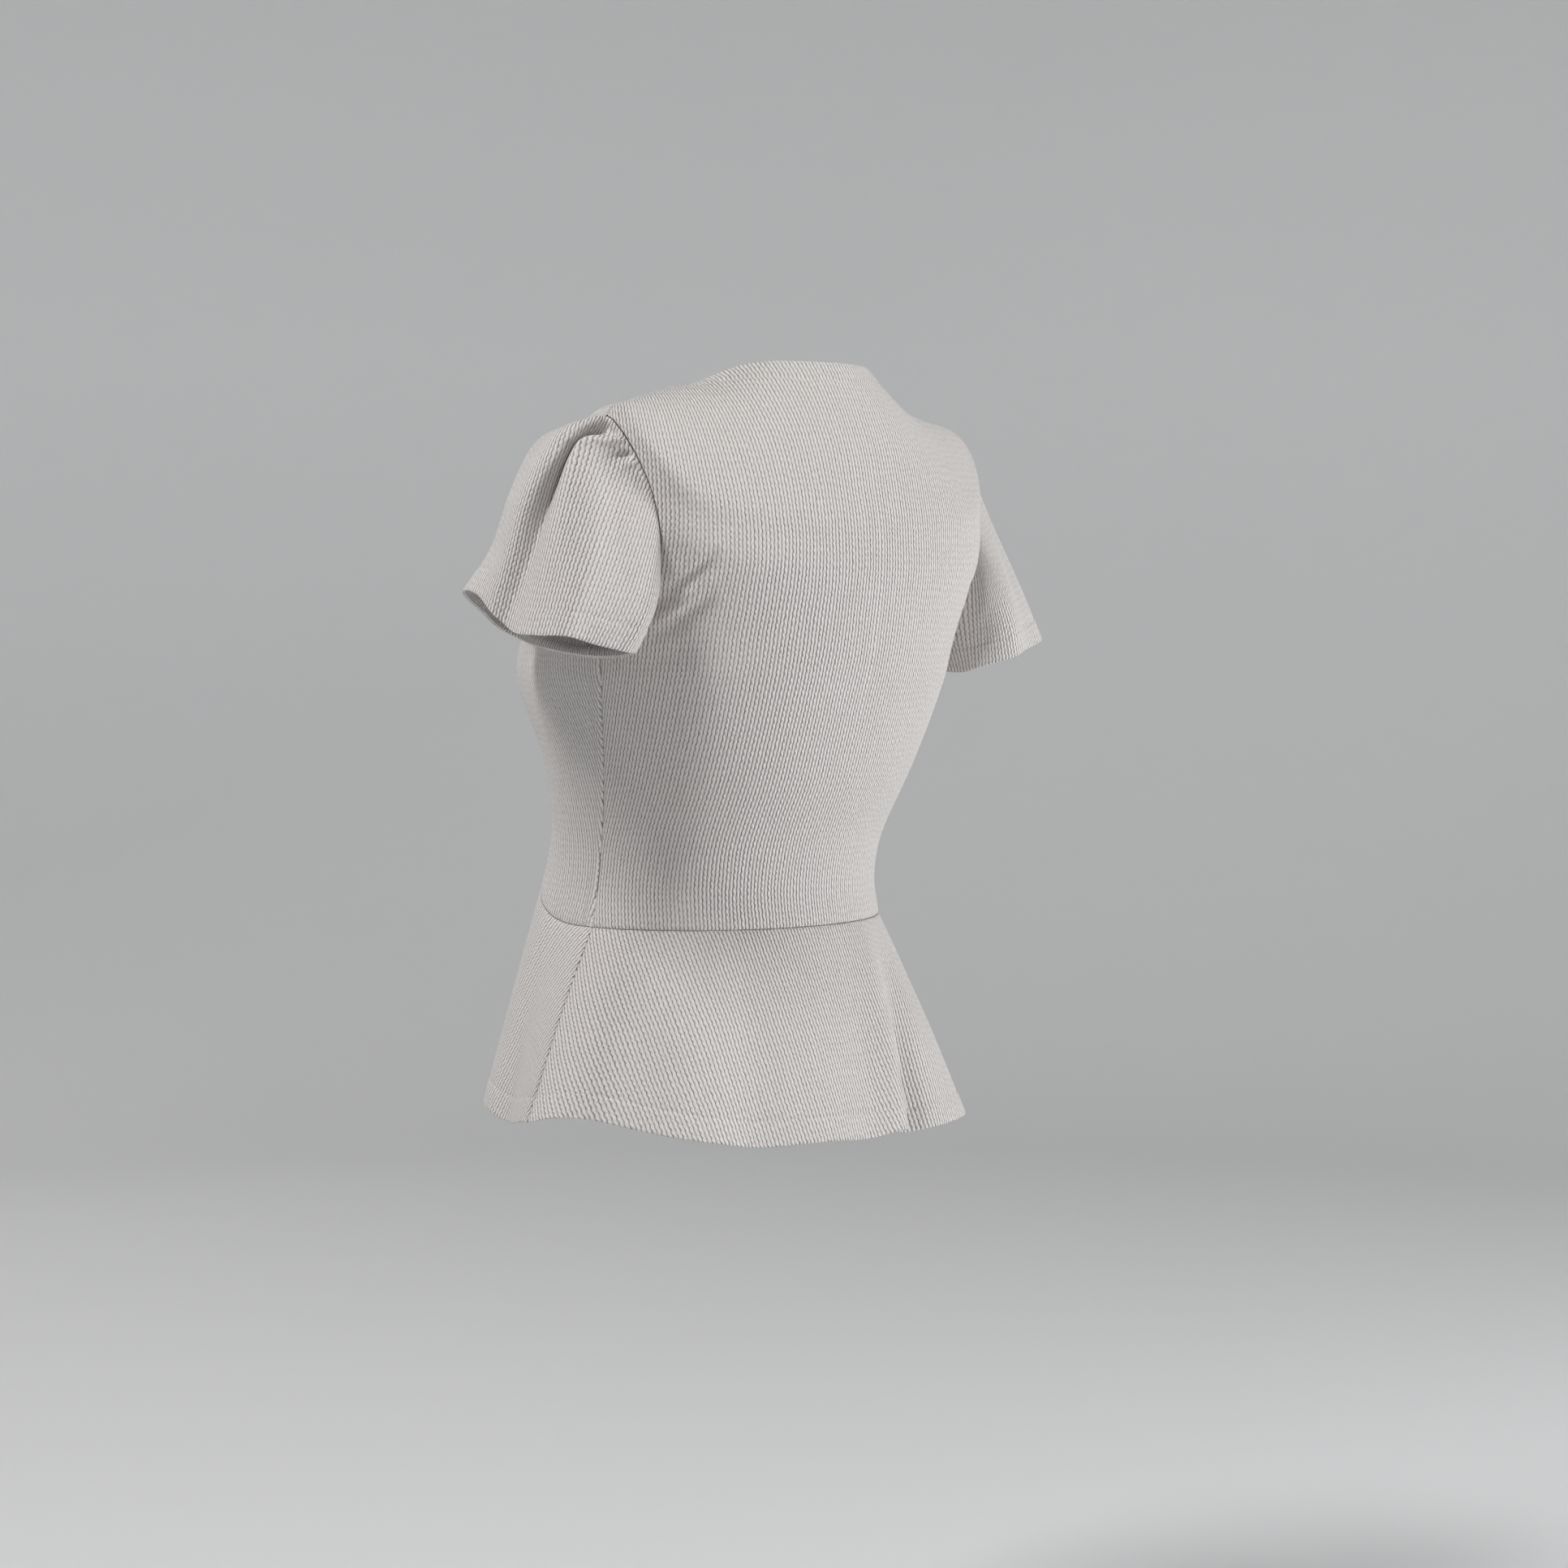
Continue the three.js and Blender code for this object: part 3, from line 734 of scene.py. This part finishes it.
def straight_ribs(points):
    """The flat pattern of a sleeve: how far round the hem each rib starts, and how far up it a point lies."""
    count = len(points) - 1
    hem = points[:, 0]
    run = run_along(points, 0)[:, 0]
    middle = points[:, points.shape[1] // 2]
    up = middle - hem
    up /= np.linalg.norm(up, axis=1, keepdims=True)
    knots = np.arange(-count, 2 * count + 1)

    def around(table, step=None):
        """Repeats a table before and after the sleeve's own turn."""
        body = table[:-1]
        shift = np.zeros_like(table[0]) if step is None else step
        return np.concatenate([body - shift, body, body + shift, table[:1] + 2 * shift])

    hems, ups, runs = around(hem), around(up), around(run, run[-1])
    for _ in range(RIB_AVERAGES):
        ups = (np.roll(ups, RIB_NEIGHBOUR, axis=0) + ups + np.roll(ups, -RIB_NEIGHBOUR, axis=0)) / 3
    ups /= np.linalg.norm(ups, axis=1, keepdims=True)
    slopes = np.gradient(hems, axis=0)

    def read(table, at):
        return np.stack([np.interp(at, knots, table[:, axis]) for axis in range(3)], axis=-1)

    at = np.repeat(np.arange(count + 1)[:, None], points.shape[1], axis=1).astype(float)
    for _ in range(RIB_STEPS):
        rise, slope = read(ups, at), read(slopes, at)
        slope -= rise * (slope * rise).sum(axis=-1, keepdims=True)
        aside = ((points - read(hems, at)) * slope).sum(axis=-1) / (slope * slope).sum(axis=-1)
        at += RIB_STEP_SHARE * aside
    across = np.interp(at, knots, runs) - run[-1] / 2
    rise = ((points - read(hems, at)) * read(ups, at)).sum(axis=-1)
    return np.stack([across, rise], axis=2) * MM


def sleeve(hangs):
    """The points and the flat pattern of a sleeve for the wearer's left, from hem to seam; hangs is 1 for the
    sleeve that hangs lower."""
    sides = 180 - PLEAT_SPAN
    turns = [180 + stop for stop in graded(sides, SLEEVE_COLUMN)]
    turns += [180 + sides + stop for stop in graded(2 * PLEAT_SPAN, PLEAT_COLUMN)[1:]]
    turns += [360 + PLEAT_SPAN + stop for stop in graded(sides, SLEEVE_COLUMN)[1:]]
    longest = SLEEVE_LENGTH * 1000
    down = graded(longest, SLEEVE_ROW, EDGE_STOPS, stitch_stops(SLEEVE_HEM))
    shares = [stop / longest for stop in reversed(down)]
    plain = sleeve_lines(turns, shares, hangs)
    flat = straight_ribs(plain)
    fold = np.array([[sleeve_fold(turn, share) for share in shares] for turn in turns])
    pleat, lap = pleat_at(turns, shares)
    near_seam = np.array([smooth_step(0, FOLD_START, share) for share in shares])
    normals = outward(plain, True)
    around = np.gradient(plain, axis=0)
    around /= np.linalg.norm(around, axis=2, keepdims=True)

    def place(at):
        return sleeve_lines([at[0] % 360], [at[1]], hangs)[0, 0]

    creases = crease_relief(plain, SLEEVE_CREASES, place)
    at_seam = np.array([smooth_step(0, PLEAT_START, share) for share in shares])
    lift = fold * near_seam + (pleat + creases) * at_seam
    points = plain + normals * lift[..., None] + around * (lap * near_seam)[..., None]
    spare = run_along(points, 0) - run_along(plain, 0)
    flat[..., 0] += (spare - smoothed(spare, turns)) * MM
    flat[..., 0] *= SLEEVE_RIBS
    return points, flat


class NodeKit:
    """Adds shader nodes and joins them, so that a pattern reads as a sum."""

    def __init__(self, tree):
        self.tree = tree

    def node(self, kind, inputs=None, **settings):
        node = self.tree.nodes.new(kind)
        for name, value in settings.items():
            setattr(node, name, value)
        for socket, value in (inputs or {}).items():
            self.feed(node.inputs[socket], value)
        return node

    def feed(self, socket, value):
        if isinstance(value, bpy.types.NodeSocket):
            self.tree.links.new(value, socket)
        else:
            socket.default_value = value

    def math(self, operation, *values):
        node = self.node("ShaderNodeMath", operation=operation)
        for socket, value in zip(node.inputs, values):
            self.feed(socket, value)
        return node.outputs[0]

    def mix_colour(self, share, a, b):
        node = self.node("ShaderNodeMix", data_type="RGBA")
        for socket, value in zip((node.inputs[0], node.inputs[6], node.inputs[7]), (share, a, b)):
            self.feed(socket, value)
        return node.outputs[2]

    def noise(self, vector, scale, detail=2.0):
        node = self.node("ShaderNodeTexNoise", {"Vector": vector, "Scale": scale, "Detail": detail})
        return node.outputs["Fac"]


def knit_material(look):
    """Crinkled rib knit: wavy grooves between puffed ribs, laid out on the flat pattern."""
    name = "Crinkle knit"
    if name in bpy.data.materials:
        return bpy.data.materials[name]
    material = bpy.data.materials.new(name)
    material.use_nodes = True
    kit = NodeKit(material.node_tree)
    shader = material.node_tree.nodes["Principled BSDF"]
    flat = kit.node("ShaderNodeTexCoord").outputs["UV"]
    axes = kit.node("ShaderNodeSeparateXYZ", {"Vector": flat})
    across, along = axes.outputs["X"], axes.outputs["Y"]

    drift = kit.math("SUBTRACT", kit.noise(flat, DRIFT_SCALE), 0.5)
    line = kit.math("MULTIPLY_ADD", drift, DRIFT_RIBS, kit.math("DIVIDE", across, look.rib_pitch / 2))
    groove = kit.math("ROUND", line)
    near_rib, near_row = kit.math("MULTIPLY", line, STRAY_RIB), kit.math("MULTIPLY", along, STRAY_ROW)
    stray = kit.node("ShaderNodeCombineXYZ", {"X": near_rib, "Y": near_row})
    shift = kit.noise(stray.outputs[0], 1.0)
    beat = kit.math("MULTIPLY_ADD", shift, STRAY_BEATS, kit.math("DIVIDE", along, look.rib_wave))
    zigzag = kit.math("MULTIPLY_ADD", kit.math("PINGPONG", beat, 0.5), 4, -1)
    square = kit.math("MULTIPLY", zigzag, zigzag)
    sway = kit.math("MULTIPLY", zigzag, kit.math("MULTIPLY_ADD", square, -SWAY_BLUNT, 1 + SWAY_BLUNT))
    off = kit.math("SUBTRACT", kit.math("SUBTRACT", line, groove), kit.math("MULTIPLY", sway, SWAY_RIBS))
    near = kit.math("EXPONENT", kit.math("MULTIPLY", kit.math("MULTIPLY", off, off), -GROOVE_SHARP))
    full_beat = kit.math("MULTIPLY", beat, math.tau)
    slant = kit.math("COSINE", full_beat)
    patchy = kit.math("MULTIPLY_ADD", kit.noise(flat, PATCH_SCALE, 1.0), PATCH_GAIN, PATCH_LEAST)
    stroke = kit.math("MULTIPLY_ADD", slant, -SLANT_LOSS, patchy)
    minor = kit.math("PINGPONG", groove, 1.0)
    strength = kit.math("MULTIPLY_ADD", minor, -MINOR_LOSS, 1.0)
    cut = kit.math("MULTIPLY", kit.math("MULTIPLY", near, stroke), strength)

    crown = kit.math("SINE", kit.math("MULTIPLY", kit.math("ABSOLUTE", off), math.pi))
    puff = kit.math("COSINE", kit.math("MULTIPLY_ADD", line, math.pi, full_beat))
    bead = kit.math("MULTIPLY", crown, puff)
    crepe = kit.noise(flat, CREPE_SCALE, CREPE_DETAIL)
    high = kit.math("MULTIPLY_ADD", crown, CROWN_HIGH, kit.math("MULTIPLY", bead, BEAD_HIGH))
    high = kit.math("MULTIPLY_ADD", cut, CUT_HIGH, high)
    high = kit.math("MULTIPLY_ADD", crepe, CREPE_HIGH, high)
    bump = kit.node("ShaderNodeBump", {"Strength": 1.0, "Distance": look.rib_relief, "Height": high})

    mottle = kit.noise(flat, MOTTLE_SCALE, MOTTLE_DETAIL)
    base = kit.mix_colour(mottle, (*look.cloth_colour, 1), (*look.cloth_warm, 1))
    # Painted shade: each groove is darkened towards a dark colour, standing in for the shade that falls down
    # in it.
    shade = kit.math("MULTIPLY", cut, GROOVE_SHADE)
    colour = kit.mix_colour(shade, base, (*look.groove_shade_colour, 1))
    kit.feed(shader.inputs["Base Color"], colour)
    kit.feed(shader.inputs["Normal"], bump.outputs["Normal"])
    for socket, value in KNIT_FINISH.items():
        shader.inputs[socket].default_value = value
    return material


class BlouseCloth(bpy.types.PropertyGroup):
    thickness: bpy.props.FloatProperty(
        name="Cloth thickness",
        description="Thickness of the single knit",
        default=0.0013,
        min=0.0005,
        max=0.003,
        unit="LENGTH",
        subtype="DISTANCE",
    )
    hem_thickness: bpy.props.FloatProperty(
        name="Hem thickness",
        description="Thickness of the cloth where a hem doubles it",
        default=0.0022,
        min=0.001,
        max=0.004,
        unit="LENGTH",
        subtype="DISTANCE",
    )
    rib_pitch: bpy.props.FloatProperty(
        name="Rib pitch",
        description="Breadth of two ribs of the knit on the flat pattern",
        default=0.0058,
        min=0.002,
        max=0.01,
        unit="LENGTH",
        subtype="DISTANCE",
    )
    rib_wave: bpy.props.FloatProperty(
        name="Rib wave",
        description="Length of one zigzag of a groove",
        default=0.0046,
        min=0.002,
        max=0.02,
        unit="LENGTH",
        subtype="DISTANCE",
    )
    rib_relief: bpy.props.FloatProperty(
        name="Rib relief",
        description="Depth of the knit's relief",
        default=0.0009,
        min=0,
        max=0.002,
        unit="LENGTH",
        subtype="DISTANCE",
    )
    cloth_colour: bpy.props.FloatVectorProperty(
        name="Cloth colour",
        description="Colour of the raised ribs",
        default=(0.74, 0.715, 0.705),
        min=0,
        max=1,
        size=3,
        subtype="COLOR",
    )
    cloth_warm: bpy.props.FloatVectorProperty(
        name="Warm cloth colour",
        description="Colour that the cloth drifts to in soft patches",
        default=(0.72, 0.68, 0.66),
        min=0,
        max=1,
        size=3,
        subtype="COLOR",
    )
    # Painted shade: the dark colour laid into the knit's grooves for the shade in them.
    groove_shade_colour: bpy.props.FloatVectorProperty(
        name="Groove colour",
        description="Colour down in the knit's grooves",
        default=(0.13, 0.105, 0.09),
        min=0,
        max=1,
        size=3,
        subtype="COLOR",
    )


class BlouseStage(bpy.types.PropertyGroup):
    floor_height: bpy.props.FloatProperty(
        name="Floor height",
        description="Height of the floor in the frame of the blouse",
        default=-1.0,
        unit="LENGTH",
        subtype="DISTANCE",
    )
    floor_colour: bpy.props.FloatVectorProperty(
        name="Floor colour",
        description="Colour of the pale floor and its raised rim",
        default=(0.76, 0.765, 0.77),
        min=0,
        max=1,
        size=3,
        subtype="COLOR",
    )
    key_power: bpy.props.FloatProperty(
        name="Key light",
        description="Power of the light on the back, in watts",
        default=66,
        min=0,
        subtype="POWER",
    )
    side_power: bpy.props.FloatProperty(
        name="Side light",
        description="Power of the high light on the left side, in watts",
        default=74,
        min=0,
        subtype="POWER",
    )
    front_power: bpy.props.FloatProperty(
        name="Front light",
        description="Power of the light on the front, in watts",
        default=12,
        min=0,
        subtype="POWER",
    )
    sky: bpy.props.FloatProperty(
        name="Sky",
        description="Strength of the even light from all round",
        default=0.1,
        min=0,
        max=3,
        subtype="FACTOR",
    )


class BLOUSE_OT_bodice(bpy.types.Operator):
    """Make the back and the front of the bodice"""

    bl_idname = "blouse.bodice"
    bl_label = "Bodice"

    def execute(self, context):
        for half, side in enumerate(("back", "front")):
            points, flat = bodice_panel(half)
            from_left = run_along(points, 0)
            to_side = np.minimum(from_left, from_left[-1:] - from_left)
            from_waist = run_along(points, 1)
            from_neck = from_waist[:, -1:] - from_waist
            wave = BODICE_WAVE
            relief = seam_relief(points, np.minimum(to_side, from_waist), wave.seam_seed + half)
            relief += hem_relief(points, from_neck, NECK_HEM, wave.hem_seed + half)
            relief += crease_relief(points, BODICE_CREASES, lambda place: body_point(*place))
            relief += wave.depth * ripple(points, wave.length, wave.seed + half)
            node = f"bodice_{side}"
            weight = hem_weight(from_neck, NECK_HEM)
            piece = cloth_piece(context, f"{node}_cloth", points, flat, relief, weight)
            finish_piece(piece, node)
        return {"FINISHED"}


class BLOUSE_OT_peplum(bpy.types.Operator):
    """Make the back and the front of the peplum"""

    bl_idname = "blouse.peplum"
    bl_label = "Peplum"

    def execute(self, context):
        for half, side in enumerate(("back", "front")):
            points, flat = peplum_panel(half)
            from_left = run_along(points, 0)
            to_side = np.minimum(from_left, from_left[-1:] - from_left)
            from_hem = run_along(points, 1)
            from_waist = from_hem[:, -1:] - from_hem
            wave = PEPLUM_WAVE
            relief = seam_relief(points, np.minimum(to_side, from_waist), wave.seam_seed + half)
            relief += hem_relief(points, from_hem, PEPLUM_HEM, wave.hem_seed + half)
            relief += wave.depth * ripple(points, wave.length, wave.seed + half)
            node = f"peplum_{side}"
            weight = hem_weight(from_hem, PEPLUM_HEM)
            piece = cloth_piece(context, f"{node}_cloth", points, flat, relief, weight)
            finish_piece(piece, node)
        return {"FINISHED"}


class BLOUSE_OT_sleeves(bpy.types.Operator):
    """Make the two pleated flutter sleeves"""

    bl_idname = "blouse.sleeves"
    bl_label = "Sleeves"

    def execute(self, context):
        for hangs, side in enumerate(("left", "right")):
            points, flat = sleeve(hangs)
            from_hem = run_along(points, 1)
            from_seam = from_hem[:, -1:] - from_hem
            round_arm = run_along(points, 0)
            from_underarm = np.minimum(round_arm, round_arm[-1:] - round_arm)
            wave = SLEEVE_WAVE
            relief = seam_relief(points, np.minimum(from_seam, from_underarm), wave.seam_seed + hangs)
            relief += hem_relief(points, from_hem, SLEEVE_HEM, wave.hem_seed + hangs)
            relief += wave.depth * ripple(points, wave.length, wave.seed + hangs)
            weight = hem_weight(from_hem, SLEEVE_HEM)
            if hangs:
                points, flat = points[::-1] * (-1, 1, 1), flat[::-1]
                relief, weight = relief[::-1], weight[::-1]
            node = f"sleeve_{side}"
            piece = cloth_piece(context, f"{node}_cloth", points, flat, relief, weight, joined=True)
            finish_piece(piece, node)
        return {"FINISHED"}


def soft_light(context, row, power):
    """A rectangular area light that faces the middle of the blouse."""
    lamp = bpy.data.lights.new(row.name, "AREA")
    lamp.shape = "RECTANGLE"
    lamp.size, lamp.size_y = row.size
    lamp.energy = power
    lamp.color = row.colour
    light = bpy.data.objects.new(row.name, lamp)
    light.location = row.place
    light.rotation_euler = (Vector(LIGHT_AIM) - Vector(row.place)).to_track_quat("-Z", "Y").to_euler()
    light.visible_camera = False
    context.scene.collection.objects.link(light)


class BLOUSE_OT_stage(bpy.types.Operator):
    """Make the pale floor, the soft lights and the camera"""

    bl_idname = "blouse.stage"
    bl_label = "Stage"

    def execute(self, context):
        stage = context.scene.blouse_stage
        context.scene.view_settings.view_transform = "Standard"
        self.floor(context, stage)
        self.lights(context, stage)
        self.camera(context)
        return {"FINISHED"}

    def floor(self, context, stage):
        """A wide round floor whose rim rises all round, so that no view runs past it."""
        bm = bmesh.new()
        low = stage.floor_height
        profile = [(0, low), (FLOOR_FLAT, low)]
        for i in range(1, FLOOR_BENDS + 1):
            bend = math.radians(90 * i / FLOOR_BENDS)
            out, up = math.sin(bend), 1 - math.cos(bend)
            profile.append((FLOOR_FLAT + FLOOR_CURVE * out, low + FLOOR_CURVE * up))
        profile.append((profile[-1][0], low + FLOOR_RIM))
        verts = [bm.verts.new((out, 0, high)) for out, high in profile]
        edges = [bm.edges.new(pair) for pair in zip(verts, verts[1:])]
        bmesh.ops.spin(
            bm,
            geom=verts + edges,
            cent=(0, 0, 0),
            axis=(0, 0, 1),
            angle=math.tau,
            steps=FLOOR_SIDES,
            use_merge=True,
        )
        bmesh.ops.remove_doubles(bm, verts=bm.verts, dist=1e-5)
        bmesh.ops.recalc_face_normals(bm, faces=bm.faces)
        if min(bm.faces, key=lambda face: face.calc_center_median().length).normal.z < 0:
            bmesh.ops.reverse_faces(bm, faces=bm.faces)
        for face in bm.faces:
            face.smooth = True
        mesh = bpy.data.meshes.new("floor")
        bm.to_mesh(mesh)
        bm.free()
        floor = bpy.data.objects.new("floor", mesh)
        context.scene.collection.objects.link(floor)
        paint = bpy.data.materials.new("Pale floor")
        paint.use_nodes = True
        kit = NodeKit(paint.node_tree)
        shader = paint.node_tree.nodes["Principled BSDF"]
        cloudy = kit.noise(kit.node("ShaderNodeTexCoord").outputs["Object"], FLOOR_CLOUDS)
        darker = [FLOOR_DARKER * part for part in stage.floor_colour]
        tint = kit.mix_colour(cloudy, (*stage.floor_colour, 1), (*darker, 1))
        kit.feed(shader.inputs["Base Color"], tint)
        shader.inputs["Roughness"].default_value = FLOOR_ROUGHNESS
        floor.data.materials.append(paint)

    def lights(self, context, stage):
        world = context.scene.world or bpy.data.worlds.new("Studio")
        context.scene.world = world
        world.use_nodes = True
        sky = world.node_tree.nodes["Background"]
        sky.inputs["Color"].default_value = SKY_COLOUR
        sky.inputs["Strength"].default_value = stage.sky
        for row in LAMPS:
            soft_light(context, row, getattr(stage, row.power))

    def camera(self, context):
        lens = bpy.data.cameras.new("Camera")
        lens.sensor_width = SENSOR
        lens.lens = SENSOR * CAMERA_FOCUS / PHOTO_SIDE
        lens.shift_x = (PHOTO_SIDE / 2 - CAMERA_AXIS[0]) / PHOTO_SIDE
        lens.shift_y = (CAMERA_AXIS[1] - PHOTO_SIDE / 2) / PHOTO_SIDE
        camera = bpy.data.objects.new("Camera", lens)
        spread = CAMERA_DISTANCE / math.sqrt(2)
        camera.location = (spread, spread, CAMERA_HEIGHT)
        camera.rotation_euler = (math.radians(90), 0, math.radians(135))
        context.scene.collection.objects.link(camera)
        context.scene.camera = camera


class BLOUSE_PT_panel(bpy.types.Panel):
    """The steps that build the blouse, and the sizes and colours they use"""

    bl_idname = "BLOUSE_PT_panel"
    bl_label = "Peplum blouse"
    bl_space_type = "VIEW_3D"
    bl_region_type = "UI"
    bl_category = "Blouse"

    def draw(self, context):
        for settings in (context.scene.blouse_cloth, context.scene.blouse_stage):
            box = self.layout.box()
            for name in settings.__annotations__:
                box.prop(settings, name)
        for step in STEPS:
            self.layout.operator(step.bl_idname)


STEPS = (BLOUSE_OT_bodice, BLOUSE_OT_peplum, BLOUSE_OT_sleeves, BLOUSE_OT_stage)
CLASSES = (BlouseCloth, BlouseStage, *STEPS, BLOUSE_PT_panel)


def register():
    for cls in CLASSES:
        bpy.utils.register_class(cls)
    bpy.types.Scene.blouse_cloth = bpy.props.PointerProperty(type=BlouseCloth)
    bpy.types.Scene.blouse_stage = bpy.props.PointerProperty(type=BlouseStage)


def unregister():
    del bpy.types.Scene.blouse_stage
    del bpy.types.Scene.blouse_cloth
    for cls in reversed(CLASSES):
        bpy.utils.unregister_class(cls)


def main():
    register()
    bpy.ops.blouse.bodice()
    bpy.ops.blouse.peplum()
    bpy.ops.blouse.sleeves()
    bpy.ops.blouse.stage()


if __name__ == "__main__":
    main()
